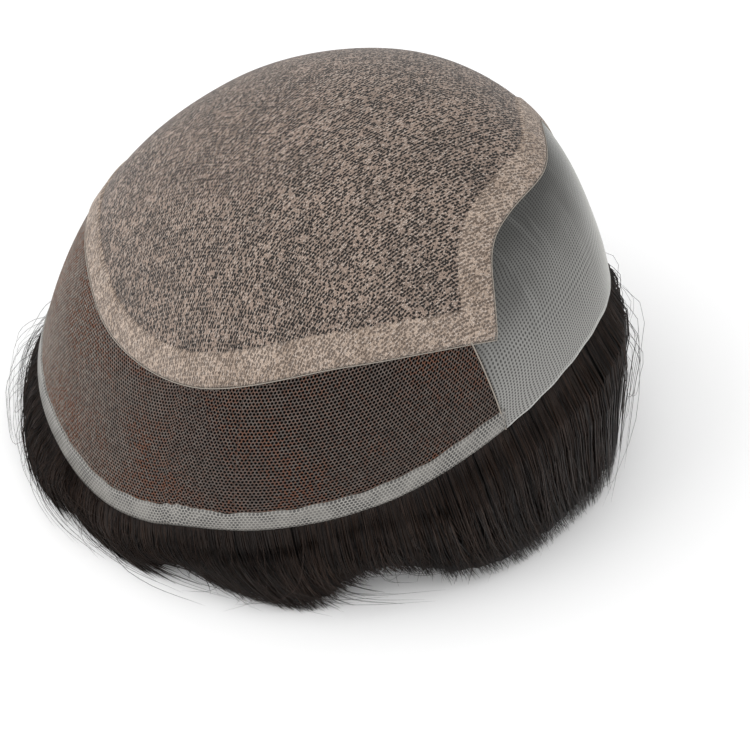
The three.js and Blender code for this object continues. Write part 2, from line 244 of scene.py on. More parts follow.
def run_from_front(line):
    """Length along a line that has a point for each climb angle, counted from the front."""
    run = np.concatenate([[0], np.cumsum(np.linalg.norm(np.diff(line, axis=0), axis=1))])
    return run - np.interp(0, climb_angles, run)


middle_run = run_from_front(on_chart(climb[:, MIDDLE_CLIMB, 0], climb[:, MIDDLE_CLIMB, 1]))
rim_run = run_from_front(rim_point(climb_angles))


def climbed(around, height):
    """Chart place at a length up the line that starts at an angle of the rim."""
    column = np.interp(around, climb_angles, np.arange(len(climb_angles)))
    column = np.clip(column, 0, len(climb_angles) - 1.001)
    row = np.clip(height, 0, CLIMB_STEPS - 0.001)
    left, under = column.astype(int), row.astype(int)
    a, b = (column - left)[:, None], (row - under)[:, None]
    low = climb[left, under] * (1 - a) + climb[left + 1, under] * a
    high = climb[left, under + 1] * (1 - a) + climb[left + 1, under + 1] * a
    place = low * (1 - b) + high * b
    return place[:, 0], place[:, 1]


# Materials

def linear(code):
    """An sRGB hex colour as linear values."""
    parts = [int(code[index:index + 2], 16) / 255 for index in (1, 3, 5)]
    return [*(c / 12.92 if c <= 0.04045 else ((c + 0.055) / 1.055) ** 2.4 for c in parts), 1.0]


def fill(tree, node, inputs):
    """Sets a node's inputs; an input that is given a socket is linked to it."""
    for name, value in inputs.items():
        if isinstance(value, bpy.types.NodeSocket):
            tree.links.new(value, node.inputs[name])
        else:
            node.inputs[name].default_value = value


def add(tree, kind, inputs=None, output=0, **settings):
    """Adds a node with its settings and links, and gives one of its outputs, or the node itself
    where output is None."""
    node = tree.nodes.new("ShaderNode" + kind)
    for name, value in settings.items():
        setattr(node, name, value)
    fill(tree, node, inputs or {})
    return node if output is None else node.outputs[output]


# Settings of the nodes that mix two colours, 6 and 7, by an amount, 0, and of those that turn a
# value into a soft step, from 0 at the value of input 1 to 1 at that of input 2
MIX = {"output": 2, "data_type": "RGBA"}
STEP = {"interpolation_type": "SMOOTHSTEP"}


def material(name):
    made = bpy.data.materials.new(name)
    made.use_nodes = True
    return made, made.node_tree, made.node_tree.nodes["Principled BSDF"]


def cloth_map(tree, stretch=(1.0, 1.0)):
    """Millimetres on the cloth, stretched along and across it."""
    place = add(tree, "UVMap", uv_map="cloth")
    return add(tree, "VectorMath", {0: place, 1: (*stretch, 1)}, operation="MULTIPLY")


def hole_distance(tree, place, cell, centred=True):
    """Distance to the nearest hole of a net with a hole at the corners of each cell, and one at
    its middle where the rows are set half a step apart."""
    half = (cell[0] / 2, cell[1] / 2, 1000.0)
    low = tuple(-value for value in half)
    lengths = []
    for shift in ((0, 0, 0), half[:2] + (0,))[:1 + centred]:
        moved = add(tree, "VectorMath", {0: place, 1: shift}, operation="ADD")
        wrapped = add(tree, "VectorMath", {0: moved, 1: half, 2: low}, operation="WRAP")
        flat = add(tree, "VectorMath", {0: wrapped, 1: (1, 1, 0)}, operation="MULTIPLY")
        lengths.append(add(tree, "VectorMath", {0: flat}, "Value", operation="LENGTH"))
    if not centred:
        return lengths[0]
    return add(tree, "Math", {0: lengths[0], 1: lengths[1]}, operation="MINIMUM")


def silk_way(angle):
    """Unit vector on the silk for a direction measured from the front, turning to the left."""
    return np.array([-math.sin(math.radians(angle)), math.cos(math.radians(angle))])


DASH_SKEW = 0.35
DASH_SOFTNESS = 0.25
SHARE_SOFTNESS = 0.04


def dashes(tree, turn, pitch, size, share, jitter):
    """Mask of short dashes, one to a cell of a jittered lattice. Pitch and size are along and
    across the dash in millimetres, and share is the part of the cells that hold one."""
    along, across = silk_way(turn), silk_way(turn + 90)
    to_cell = np.array([
        along / pitch[0] + DASH_SKEW * across / pitch[1],
        across / pitch[1],
    ])
    from_cell = np.linalg.inv(to_cell)
    to_dash = [
        way @ from_cell / (length / 2) for way, length in ((along, size[0]), (across, size[1]))
    ]

    def measured(place, rows):
        parts = {
            index: add(
                tree, "VectorMath", {0: place, 1: (*row, 0)}, "Value", operation="DOT_PRODUCT"
            )
            for index, row in enumerate(rows)
        }
        return add(tree, "CombineXYZ", parts)

    place = measured(cloth_map(tree), to_cell)
    cells = add(
        tree, "TexVoronoi", {"Vector": place, "Scale": 1.0, "Randomness": jitter}, None,
        voronoi_dimensions="2D",
    )
    offset = {0: place, 1: cells.outputs["Position"]}
    offset = add(tree, "VectorMath", offset, operation="SUBTRACT")
    far = add(tree, "VectorMath", {0: measured(offset, to_dash)}, "Value", operation="LENGTH")
    on_dash = add(
        tree, "MapRange", {0: far, 1: 1 + DASH_SOFTNESS, 2: 1 - DASH_SOFTNESS}, **STEP
    )
    chance = add(tree, "SeparateColor", {0: cells.outputs["Color"]})
    held = add(
        tree, "MapRange", {0: chance, 1: share + SHARE_SOFTNESS, 2: share - SHARE_SOFTNESS}, **STEP
    )
    return add(tree, "Math", {0: on_dash, 1: held}, operation="MULTIPLY")


# Direction of the silk's ribs, from the front and turning to the left, and the steps between the
# holes of the front lace and of the coarser net. The real net's step is about 1.1, and it is
# drawn a little coarser, so that its threads stay within the count of triangles.
RIB_TURN = 50
LACE_CELL = (0.86, 0.74)
NET_PITCH = 1.16
NET_ROWS = NET_PITCH * math.sqrt(3)
NET_CELL = (NET_PITCH, NET_ROWS)


def silk_material(name, light, dark, knot, knots, painted_highlights):
    """Silk net woven in fine ribs, with hair knotted through it: a matte, dry cloth, peppered
    with the dark dashes of the knots and with pale dashes, painted highlights where the ribs catch
    the light. The real knots are smaller and closer, and are drawn as coarse as they need to show."""
    made, tree, shader = material(name)
    place = cloth_map(tree)
    patches = add(tree, "TexNoise", {"Vector": place, "Scale": 0.09, "Detail": 3})
    patches = add(tree, "MapRange", {0: patches, 1: 0.3, 2: 0.7}, **STEP)
    colour = add(tree, "Mix", {0: patches, 6: linear(dark), 7: linear(light)}, **MIX)
    grain = add(tree, "TexNoise", {"Vector": place, "Scale": 2.4, "Roughness": 0.6})
    grain = add(tree, "MapRange", {0: grain, 1: 0.6, 2: 0.4}, **STEP)
    deeper = add(tree, "Mix", {0: 0.5, 6: colour, 7: linear(knot)}, **MIX)
    colour = add(tree, "Mix", {0: grain, 6: colour, 7: deeper}, **MIX)
    # Pale dashes along the ribs: painted highlights in the colour, and raised ribs in the bump.
    pale = dashes(tree, RIB_TURN, pitch=(1.0, 0.68), size=(0.85, 0.28), share=0.5, jitter=0.8)
    shown = add(tree, "Math", {0: pale, 1: painted_highlights}, operation="MULTIPLY")
    colour = add(tree, "Mix", {0: shown, 6: colour, 7: linear("#bdafa4")}, **MIX)
    large = dashes(tree, RIB_TURN, pitch=(1.25, 0.8), size=(1.15, 0.5), share=0.66, jitter=0.4)
    small = dashes(
        tree, RIB_TURN + 8, pitch=(0.85, 0.6), size=(0.6, 0.34), share=0.5, jitter=1.0
    )
    either = add(tree, "Math", {0: large, 1: small}, operation="MAXIMUM")
    knotted = add(tree, "Math", {0: either, 1: knots}, operation="MULTIPLY")
    colour = add(tree, "Mix", {0: knotted, 6: colour, 7: linear(knot)}, **MIX)
    relief = add(tree, "Math", {0: pale, 1: knotted}, operation="SUBTRACT")
    fill(tree, shader, {
        "Base Color": colour,
        "Roughness": 0.8,
        "Specular IOR Level": 0.25,
        "Sheen Weight": 0.12,
        "Sheen Roughness": 0.5,
        "Normal": add(
            tree, "Bump", {"Height": relief, "Distance": 0.25 * METRES, "Strength": 0.8}
        ),
    })
    return made


def net_material():
    """Dyed polyester monofilament, knitted and heat-set: satin, with brown patches where the dye
    took, and with painted light that makes it lighter towards the back."""
    made, tree, shader = material("polyester_net_thread")
    place = add(tree, "TexCoord", output="Object")
    patches = add(
        tree, "TexNoise", {"Vector": place, "Scale": 40.0, "Detail": 3, "Roughness": 0.6}
    )
    patches = add(tree, "MapRange", {0: patches, 1: 0.35, 2: 0.65}, **STEP)
    fine = add(tree, "TexNoise", {"Vector": place, "Scale": 1300.0, "Detail": 1})
    fine = add(tree, "MapRange", {0: fine, 1: 0.45, 2: 0.6}, **STEP)
    rust = add(tree, "Math", {0: patches, 1: 0.7, 2: 0.2}, operation="MULTIPLY_ADD")
    rust = add(tree, "Math", {0: rust, 1: fine}, operation="MULTIPLY")
    # Painted light: the threads are coloured lighter towards the back, the side the key light
    # shines from.
    backward = add(tree, "SeparateXYZ", {0: place}, "Y")
    painted_light = add(tree, "MapRange", {0: backward, 1: 0.005, 2: 0.085}, **STEP)
    pale = add(tree, "Mix", {0: painted_light, 6: linear("#69605a"), 7: linear("#958b82")}, **MIX)
    deep = add(tree, "Mix", {0: painted_light, 6: linear("#2c2522"), 7: linear("#3f3732")}, **MIX)
    tone = add(tree, "TexNoise", {"Vector": place, "Scale": 500.0, "Detail": 1})
    colour = add(tree, "Mix", {0: tone, 6: deep, 7: pale}, **MIX)
    colour = add(tree, "Mix", {0: rust, 6: colour, 7: linear("#653d29")}, **MIX)
    fill(tree, shader, {"Base Color": colour, "Roughness": 0.6, "Specular IOR Level": 0.2})
    return made


def fine_lace_material():
    """Fine grey polyester lace, knitted: dull with a velvety edge, with small dark holes in rows
    that run straight down the front, and with painted light that makes it lighter towards the rim."""
    made, tree, shader = material("fine_polyester_lace")
    cloth = cloth_map(tree)
    waver = add(tree, "TexNoise", {"Vector": cloth, "Scale": 0.06, "Detail": 1})
    waver = add(tree, "Math", {0: waver, 1: 4.0}, operation="MULTIPLY")
    waver = add(tree, "CombineXYZ", {0: waver})
    place = add(tree, "VectorMath", {0: cloth, 1: waver}, operation="ADD")
    distance = hole_distance(tree, place, LACE_CELL, centred=False)
    holes = add(tree, "MapRange", {0: distance, 1: 0.36, 2: 0.12}, **STEP)
    patches = add(tree, "TexNoise", {"Vector": cloth, "Scale": 0.07, "Detail": 3})
    climbing = add(tree, "SeparateXYZ", {0: cloth}, "Y")
    uneven = add(tree, "Math", {0: patches, 1: 16.0}, operation="MULTIPLY")
    climbing = add(tree, "Math", {0: climbing, 1: uneven}, operation="ADD")
    # Painted light: the lace is coloured lighter near the rim and darker up towards the silk, over
    # uneven patches.
    painted_light = add(tree, "MapRange", {0: climbing, 1: 48.0, 2: 10.0}, **STEP)
    colour = add(tree, "Mix", {0: painted_light, 6: linear("#434341"), 7: linear("#908f8c")}, **MIX)
    # Painted sheen: pale lines down the lace.
    painted_sheen = add(tree, "TexNoise", {"Vector": cloth_map(tree, (0.22, 0.03)), "Scale": 1.0})
    painted_sheen = add(tree, "MapRange", {0: painted_sheen, 1: 0.5, 2: 0.75}, **STEP)
    painted_sheen = add(tree, "Math", {0: painted_sheen, 1: 0.3}, operation="MULTIPLY")
    colour = add(tree, "Mix", {0: painted_sheen, 6: colour, 7: linear("#8e8e8b")}, **MIX)
    strength = add(tree, "MapRange", {0: patches, 3: 0.95, 4: 0.75})
    holes = add(tree, "Math", {0: holes, 1: strength}, operation="MULTIPLY")
    colour = add(tree, "Mix", {0: holes, 6: colour, 7: linear("#171615")}, **MIX)
    fill(tree, shader, {
        "Base Color": colour,
        "Roughness": 0.8,
        "Specular IOR Level": 0.3,
        "Sheen Weight": 1.0,
        "Sheen Roughness": 0.3,
        "Sheen Tint": linear("#e6e6e2"),
        "Normal": add(
            tree, "Bump", {"Height": distance, "Distance": 0.2 * METRES, "Strength": 0.6}
        ),
    })
    return made


def band_material():
    """Lace sealed under brushed-on clear polyurethane: pale, slightly glossy, with the holes of
    the lace showing through it, dimly where the coat is thick."""
    made, tree, shader = material("polyurethane_coated_lace")
    place = cloth_map(tree)
    distance = hole_distance(tree, place, NET_CELL)
    holes = add(tree, "MapRange", {0: distance, 1: 0.53, 2: 0.34}, **STEP)
    clear = add(
        tree, "TexNoise", {"Vector": place, "Scale": 0.12, "Detail": 3, "Roughness": 0.6}
    )
    clear = add(tree, "MapRange", {0: clear, 1: 0.35, 2: 0.62}, **STEP)
    strength = add(tree, "MapRange", {0: clear, 3: 0.55, 4: 1.0})
    holes = add(tree, "Math", {0: holes, 1: strength}, operation="MULTIPLY")
    tone = add(tree, "TexNoise", {"Vector": place, "Scale": 0.3})
    colour = add(tree, "Mix", {0: tone, 6: linear("#787570"), 7: linear("#9a9791")}, **MIX)
    colour = add(tree, "Mix", {0: holes, 6: colour, 7: linear("#141210")}, **MIX)
    brushed = add(tree, "TexNoise", {"Vector": place, "Scale": 1.1})
    fill(tree, shader, {
        "Base Color": colour,
        "Roughness": 0.42,
        "Coat Weight": 0.25,
        "Coat Roughness": 0.35,
        "Normal": add(
            tree, "Bump", {"Height": brushed, "Distance": 0.12 * METRES, "Strength": 0.4}
        ),
    })
    return made


def thread_material():
    """Twisted polyester sewing thread: pale, with a soft lustre."""
    made, tree, shader = material("pale_sewing_thread")
    place = add(tree, "TexCoord", output="Object")
    twist = add(tree, "TexNoise", {"Vector": place, "Scale": 700.0})
    colour = {0: twist, 6: linear("#8f877d"), 7: linear("#ffffff")}
    fill(tree, shader, {
        "Base Color": add(tree, "Mix", colour, blend_type="MULTIPLY", **MIX),
        "Roughness": 0.55,
        "Normal": add(
            tree, "Bump", {"Height": twist, "Distance": 0.1 * METRES, "Strength": 1.0}
        ),
    })
    return made


def strand_material():
    """Human hair, dyed off black: each strand a slightly different brown, with a soft shine."""
    made, tree, shader = material("human_hair_strands")
    island = add(tree, "NewGeometry", output="Random Per Island")
    place = add(tree, "TexCoord", output="Object")
    tone = add(tree, "TexNoise", {"Vector": place, "Scale": 60.0})
    tone = add(tree, "Math", {0: tone, 1: 0.3}, operation="ADD")
    share = add(tree, "Math", {0: island, 1: tone}, operation="MULTIPLY")
    colour = add(tree, "Mix", {0: share, 6: linear("#060404"), 7: linear("#33251d")}, **MIX)
    fill(tree, shader, {"Base Color": colour, "Roughness": 0.42, "Specular IOR Level": 0.22})
    return made


def mass_material():
    """The same hair seen as a mass: near black, combed into fine grooves along its length. A
    groove is several hairs wide, because single hairs are too fine to show."""
    made, tree, shader = material("human_hair_combed_mass")
    place = cloth_map(tree, (2.2, 0.06))
    combed = add(
        tree, "TexNoise", {"Vector": place, "Scale": 1.0, "Detail": 3, "Roughness": 0.6}
    )
    # Painted shade: the colour is darker in the grooves, by the same noise that cuts them in the
    # bump.
    tone = add(tree, "MapRange", {0: combed, 1: 0.3, 2: 0.75}, **STEP)
    colour = add(tree, "Mix", {0: tone, 6: linear("#040303"), 7: linear("#0d0a08")}, **MIX)
    fill(tree, shader, {
        "Base Color": colour,
        "Roughness": 0.6,
        "Specular IOR Level": 0.08,
        "Normal": add(
            tree, "Bump", {"Height": combed, "Distance": 0.8 * METRES, "Strength": 1.0}
        ),
    })
    return made


def floor_material():
    """Matte white studio paper."""
    made, tree, shader = material("white_studio_paper")
    fill(tree, shader, {"Base Color": linear("#fbfbfb"), "Roughness": 0.9})
    return made


SILK = silk_material("woven_silk_with_knots", "#9c897c", "#86766b", "#0c0908", 0.98, 0.8)
HEM = silk_material("folded_silk_hem", "#baa899", "#a39182", "#3a2e27", 0.72, 0.9)
NET = net_material()
FINE_LACE = fine_lace_material()
BAND = band_material()
THREAD = thread_material()
HAIR = strand_material()
HAIR_MASS = mass_material()


# Mesh helpers

def mesh_of(bm, name):
    """The mesh of a shape that was modelled."""
    mesh = bpy.data.meshes.new(name)
    bm.to_mesh(mesh)
    bm.free()
    return mesh


def shown(name, data):
    """An object in the scene with the given data."""
    made = bpy.data.objects.new(name, data)
    bpy.context.collection.objects.link(made)
    return made


def taken(holder):
    """The finished mesh of a helper object, which then goes."""
    graph = bpy.context.evaluated_depsgraph_get()
    mesh = bpy.data.meshes.new_from_object(holder.evaluated_get(graph))
    bpy.data.objects.remove(holder)
    return mesh


def copied(mesh, *rows):
    """Copies of a mesh in rows, each given as a count and a step. The copies aren't merged."""
    holder = shown("copies", mesh)
    for count, step in rows:
        copies = holder.modifiers.new("copies", "ARRAY")
        copies.count = count
        copies.use_relative_offset = False
        copies.use_constant_offset = True
        copies.constant_offset_displace = step
        copies.use_merge_vertices = False
    return taken(holder)


def place_vertices(mesh, points):
    mesh.vertices.foreach_set("co", (points * METRES).astype(np.float32).ravel())
    mesh.update()


def vertex_places(mesh):
    places = np.empty(len(mesh.vertices) * 3, np.float32)
    mesh.vertices.foreach_get("co", places)
    return places.reshape(-1, 3).astype(float)


def lay_map(mesh, cloth):
    """Gives each corner its place on the cloth, in millimetres."""
    corner = np.empty(len(mesh.loops), np.int32)
    mesh.loops.foreach_get("vertex_index", corner)
    layer = mesh.uv_layers.new(name="cloth")
    layer.uv.foreach_set("vector", cloth[corner].astype(np.float32).ravel())


WELD_DISTANCE = 0.01
EMPTY_EDGE = 0.001


def weld(mesh):
    """Closes seams and poles, and turns the faces away from the hollow."""
    bm = bmesh.new()
    bm.from_mesh(mesh)
    bmesh.ops.remove_doubles(bm, verts=bm.verts, dist=WELD_DISTANCE * METRES)
    bmesh.ops.dissolve_degenerate(bm, edges=bm.edges, dist=EMPTY_EDGE * METRES)
    middle = Vector(place_shift * METRES) + Vector((0, 0, STANDING_HEIGHT * METRES))
    facing = sum(
        face.normal.dot(face.calc_center_median() - middle) * face.calc_area()
        for face in bm.faces
    )
    if facing < 0:
        bmesh.ops.reverse_faces(bm, faces=bm.faces)
    bm.to_mesh(mesh)
    bm.free()


def finish_piece(mesh, name, look, node=None):
    """A piece that rides on the body, and stands in for a node of the CAD model if one is named."""
    mesh.name = name
    mesh.materials.append(look)
    mesh.shade_smooth()
    piece = shown(name, mesh)
    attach(piece, "root")
    if node:
        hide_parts(node)
    return piece


def thicken(piece, wall, even=True):
    """Gives a skin its wall, towards the hollow."""
    wall_maker = piece.modifiers.new("wall", "SOLIDIFY")
    wall_maker.thickness = wall * METRES
    wall_maker.offset = -1
    wall_maker.use_even_offset = even
    return piece


def lay_piece(mesh, points, cloth, wall, name, look, node, even=True):
    """A sheet laid at its points, with its map and its wall."""
    place_vertices(mesh, points)
    lay_map(mesh, cloth)
    weld(mesh)
    return thicken(finish_piece(mesh, name, look, node), wall, even)


def flat_grid(columns, rows):
    """A square of one by one, with each vertex's place in it."""
    bm = bmesh.new()
    bmesh.ops.create_grid(bm, x_segments=columns, y_segments=rows, size=0.5)
    mesh = mesh_of(bm, "grid")
    places = vertex_places(mesh) + 0.5
    return mesh, places[:, 0], places[:, 1]


def flat_disc(turns, rings):
    """A round grid: a row of vertices spun about its first one, with each vertex's angle and its
    share of the radius."""
    bm = bmesh.new()
    row = [bm.verts.new((index / rings, 0, 0)) for index in range(rings + 1)]
    edges = [bm.edges.new(pair) for pair in zip(row, row[1:])]
    bmesh.ops.spin(
        bm, geom=[*row, *edges], cent=(0, 0, 0), axis=(0, 0, 1), angle=math.tau, steps=turns,
        use_merge=True,
    )
    bmesh.ops.remove_doubles(bm, verts=bm.verts, dist=1e-5)
    mesh = mesh_of(bm, "disc")
    x, y, _ = vertex_places(mesh).T
    return mesh, np.degrees(np.arctan2(x, y)), np.hypot(x, y)


# Silk panel, moulded and stretched over a form
SILK_TURNS, SILK_RINGS = 150, 34
SILK_WALL = 0.9
SILK_DEPTH = 0.1
SILK_UNDER_HEM = 0.3
CHART_RADIUS = 84.0


def silk_cloth(around, down):
    """Place on the silk before it was moulded, which keeps areas true."""
    reach = 2 * CHART_RADIUS * np.sin(np.radians(down) / 2)
    return np.stack([reach * np.sin(np.radians(around)), reach * np.cos(np.radians(around))], -1)


def rounded_edges(across, width):
    """0 at both edges of a strip and 1 from a share of its width on, as a round shoulder."""
    return np.minimum(1, np.minimum(across, 1 - across) / width) ** 0.5


mesh, around, share = flat_disc(SILK_TURNS, SILK_RINGS)
edge = hem_down(around) + (silk_down(around) - hem_down(around)) * SILK_UNDER_HEM
down = share * edge
unevenness = 0.15 * np.sin(down * 0.21 + 1.3) * np.sin(np.radians(around) * 3 + 0.4) * share
silk_piece = lay_piece(
    mesh, sunk(around, down, SILK_DEPTH - unevenness), silk_cloth(around, down), SILK_WALL,
    "silk_panel", SILK, "silk_top",
)

# Hem: a folded strip, proud of the silk and thin at both edges
HEM_PROUD = 0.45
HEM_EDGE_DEPTH = 0.15
HEM_WALL = 0.8
mesh, turn, across = flat_grid(360, 8)
around = turn * 360 - 180
start, end = hem_down(around), silk_down(around)
down = start + (end - start) * across
shoulder = (HEM_PROUD + HEM_EDGE_DEPTH) * rounded_edges(across, 0.1)
gathers = np.sin(np.radians(around) * 37 + 4 * np.sin(np.radians(around) * 5))
ripple = 0.12 * gathers * np.sin(across * math.pi)
hem_piece = lay_piece(
    mesh, sunk(around, down, HEM_EDGE_DEPTH - shoulder - ripple), silk_cloth(around, down),
    HEM_WALL, "silk_edge_hem", HEM, "silk_hem",
)

# Front lace, from under the hem's front to the rim
LACE_WALL = 0.6
LACE_DEPTH = 0.15
LACE_UNDER_HEM = 1.5
LACE_MM_PER_DEGREE = 1.42
SEAM_GAP = 0.3
mesh, turn, across = flat_grid(96, 26)
around = (turn * 2 - 1) * (SEAM_ANGLE - SEAM_GAP)
start = silk_down(around) - LACE_UNDER_HEM
down = start + (rim_down(around) - start) * across
scallops = 0.1 * np.sin(np.radians(around) * 61) * np.clip((across - 0.9) * 10, 0, 1)
climb_length = (rim_down(around) - down) * LACE_MM_PER_DEGREE
lace_piece = lay_piece(
    mesh, sunk(around, down + scallops, LACE_DEPTH),
    np.stack([scalp(around, down)[:, 0], climb_length], -1), LACE_WALL,
    "fine_front_lace", FINE_LACE, "front_lace",
)


# Side net: real threads, cut where hem, seam and coating cover them
NET_THREAD = 0.3
NET_WALL = 0.24
NET_DEPTH = 0.2
NET_HEIGHT = 62.0
NET_SPLIT = 92.0
NET_LOWEST = BAND_WIDTH - 1.2
NET_UNDER_HEM = 0.6


def net_cells(columns, rows):
    """A flat net: two six-sided rings copied in rows, in millimetres."""
    bm = bmesh.new()
    for place in ((0, 0), (NET_PITCH / 2, NET_ROWS / 2)):
        bmesh.ops.create_circle(
            bm, cap_ends=True, segments=6, radius=NET_PITCH / math.sqrt(3),
            matrix=Matrix.Translation((*place, 0)),
        )
    bmesh.ops.inset_individual(
        bm, faces=bm.faces, thickness=NET_THREAD / 2, use_even_offset=True
    )
    holes = [face for face in bm.faces if len(face.verts) == 6]
    bmesh.ops.delete(bm, geom=holes, context="FACES_ONLY")
    net = copied(mesh_of(bm, "net"), (columns, (NET_PITCH, 0, 0)), (rows, (0, NET_ROWS, 0)))
    bm = bmesh.new()
    bm.from_mesh(net)
    bmesh.ops.remove_doubles(bm, verts=bm.verts, dist=0.02)
    bm.to_mesh(net)
    bm.free()
    return net


def side_net(name, first, last):
    """The net between two angles round the rim."""
    start, end = np.interp([first, last], climb_angles, middle_run)
    mesh = net_cells(int((end - start) / NET_PITCH) + 2, int(NET_HEIGHT / NET_ROWS) + 2)
    flat = vertex_places(mesh)
    around = np.interp(flat[:, 0] + start, middle_run, climb_angles)
    height = flat[:, 1] + NET_LOWEST
    east, north = climbed(around, height)
    turned, down = np.degrees(np.arctan2(east, north)), np.hypot(east, north)
    inside = (down > silk_down(turned) - NET_UNDER_HEM) & (height > NET_LOWEST - 0.2)
    inside &= (folded(turned) > SEAM_ANGLE - SEAM_GAP) & (flat[:, 0] + start < end + 0.1)
    place_vertices(mesh, chart_point(east, north, np.full(len(east), NET_DEPTH)))
    bm = bmesh.new()
    bm.from_mesh(mesh)
    bm.verts.ensure_lookup_table()
    outside = [vert for vert in bm.verts if not inside[vert.index]]
    bmesh.ops.delete(bm, geom=outside, context="VERTS")
    bm.to_mesh(mesh)
    bm.free()
    weld(mesh)
    piece = thicken(finish_piece(mesh, name, NET, "side_lace"), NET_WALL)


side_net("side_net_left_front", SEAM_ANGLE, NET_SPLIT)
side_net("side_net_left_back", NET_SPLIT, 180.0)
side_net("side_net_right_back", -180.0, -NET_SPLIT)
side_net("side_net_right_front", -NET_SPLIT, -SEAM_ANGLE)

# Coated band along the rim, from seam to seam round the back, with a wavering upper edge
BAND_WALL = 0.7
BAND_EDGE_DEPTH = 0.1
BAND_PROUD = 0.25
mesh, turn, across = flat_grid(360, 8)
around = (turn * 2 - 1) * (180 - SEAM_ANGLE) + 180
unfolded = np.where(around > 180, around - 360, around)
height = BAND_WIDTH * across
wobble = 0.25 * np.sin(np.radians(around) * 47) + 0.2 * np.sin(np.radians(around) * 23 + 1)
east, north = climbed(unfolded, np.clip(height - wobble * (across - 0.15), 0.0, None))
shoulder = (BAND_PROUD + BAND_EDGE_DEPTH) * rounded_edges(across, 0.12)
run = np.interp(unfolded, climb_angles, rim_run)
run = np.where(around > 180, run + rim_run[-1] - rim_run[0], run)
lay_piece(
    mesh, chart_point(east, north, BAND_EDGE_DEPTH - shoulder), np.stack([run, height], -1),
    BAND_WALL, "coated_rim_band", BAND, "perimeter_band",
)


# Threads of the seams and of the silk's edge
THREAD_SAMPLES = 540
SEAM_SAMPLES = 120


def tube(name, points, radius, node=None, closed=False):
    """A thread along a line of points."""
    curve = bpy.data.curves.new(name, "CURVE")
    curve.dimensions = "3D"
    curve.bevel_depth = radius * METRES
    curve.bevel_resolution = 1
    curve.use_fill_caps = not closed
    spline = curve.splines.new("POLY")
    spline.points.add(len(points) - 1)
    flat = np.concatenate([points * METRES, np.ones((len(points), 1))], 1)
    spline.points.foreach_set("co", flat.ravel())
    spline.use_cyclic_u = closed
    finish_piece(taken(shown(name, curve)), name, THREAD, node)


around = np.linspace(-180, 180, THREAD_SAMPLES, endpoint=False)
line = sunk(around, silk_down(around) + 0.05, 0.02)
tube("silk_edge_thread", line, 0.16, closed=True)
for side, name in ((1, "left"), (-1, "right")):
    seam = side * SEAM_ANGLE
    down = np.linspace(silk_down(seam) - 1, rim_down(seam), SEAM_SAMPLES)
    line = sunk(np.full(SEAM_SAMPLES, seam), down, -0.05)
    tube(f"seam_thread_{name}", line, 0.22, f"seam_{name}")


# Hair

def smooth_lines(points, samples):
    """Smooth lines through rows of points, with their samples evenly spaced along them."""
    first = 2 * points[:, :1] - points[:, 1:2]
    last = 2 * points[:, -1:] - points[:, -2:-1]
    p = np.concatenate([first, points, last], 1)
    knots = np.linalg.norm(np.diff(p, axis=1), axis=2) ** 0.5
    knots = np.cumsum(np.maximum(knots, 1e-4), 1)
    knots = np.concatenate([np.zeros((len(p), 1)), knots], 1)[..., None]
    pieces = []
    for index in range(points.shape[1] - 1):
        t0, t1, t2, t3 = (knots[:, index + k][:, None] for k in range(4))
        q0, q1, q2, q3 = (p[:, index + k][:, None] for k in range(4))
        t = t1 + (t2 - t1) * np.linspace(0, 1, 10, endpoint=False)[None, :, None]
        a1 = (t1 - t) / (t1 - t0) * q0 + (t - t0) / (t1 - t0) * q1
        a2 = (t2 - t) / (t2 - t1) * q1 + (t - t1) / (t2 - t1) * q2
        a3 = (t3 - t) / (t3 - t2) * q2 + (t - t2) / (t3 - t2) * q3
        b1 = (t2 - t) / (t2 - t0) * a1 + (t - t0) / (t2 - t0) * a2
        b2 = (t3 - t) / (t3 - t1) * a2 + (t - t1) / (t3 - t1) * a3
        pieces.append((t2 - t) / (t2 - t1) * b1 + (t - t1) / (t2 - t1) * b2)
    line = np.concatenate([*pieces, points[:, -1:]], 1)
    run = np.linalg.norm(np.diff(line, axis=1), axis=2)
    run = np.concatenate([np.zeros((len(line), 1)), np.cumsum(run, 1)], 1)
    wanted = np.linspace(0, 1, samples)
    evened = np.empty((len(line), samples, 3))
    for index in range(len(line)):
        at = wanted * run[index, -1]
        for axis in range(3):
            evened[index, :, axis] = np.interp(at, run[index], line[index, :, axis])
    return evened


